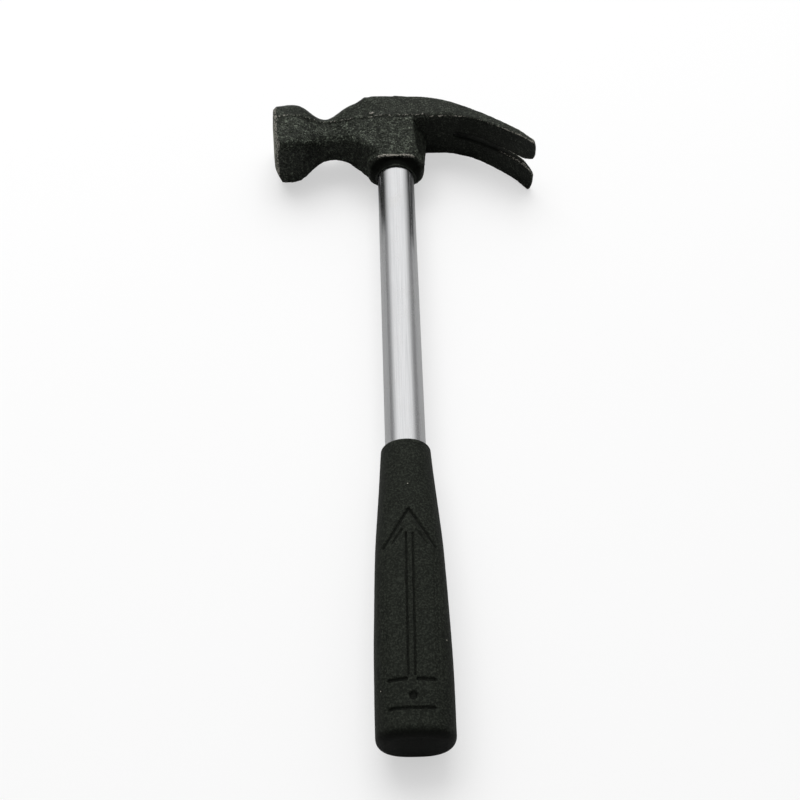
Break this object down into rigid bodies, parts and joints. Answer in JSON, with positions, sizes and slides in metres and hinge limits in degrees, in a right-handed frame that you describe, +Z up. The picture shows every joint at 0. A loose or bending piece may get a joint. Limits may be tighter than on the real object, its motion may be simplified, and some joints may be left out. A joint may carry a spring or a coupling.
{
  "type": "claw hammer",
  "caption": "Claw hammer with a black cast head, a curved split claw, a plated tubular handle and a moulded black grip.",
  "frame": {"origin": "bottom centre of the whole hammer's bounding box, with the hammer lying on its side", "axes": "+Y along the handle from the butt to the crown of the head, +X towards the claw, away from the striking face, +Z up through the hammer's thickness, square to its plane of symmetry"},
  "size_m": [0.1253, 0.3272, 0.0329],
  "materials": {
    "head_paint": "rough cast, satin black paint",
    "plating": "bright plated, lightly brushed",
    "plug_steel": "turned steel",
    "plug_plastic": "matte",
    "grip_rubber": "matte moulded"
  },
  "bodies": {
    "root": {"hammer_head": "head_paint", "handle_tube": "plating", "eye_plug": "plug_steel", "tube_end_plug": "plug_plastic", "grip": "grip_rubber"}
  },
  "joints": []
}
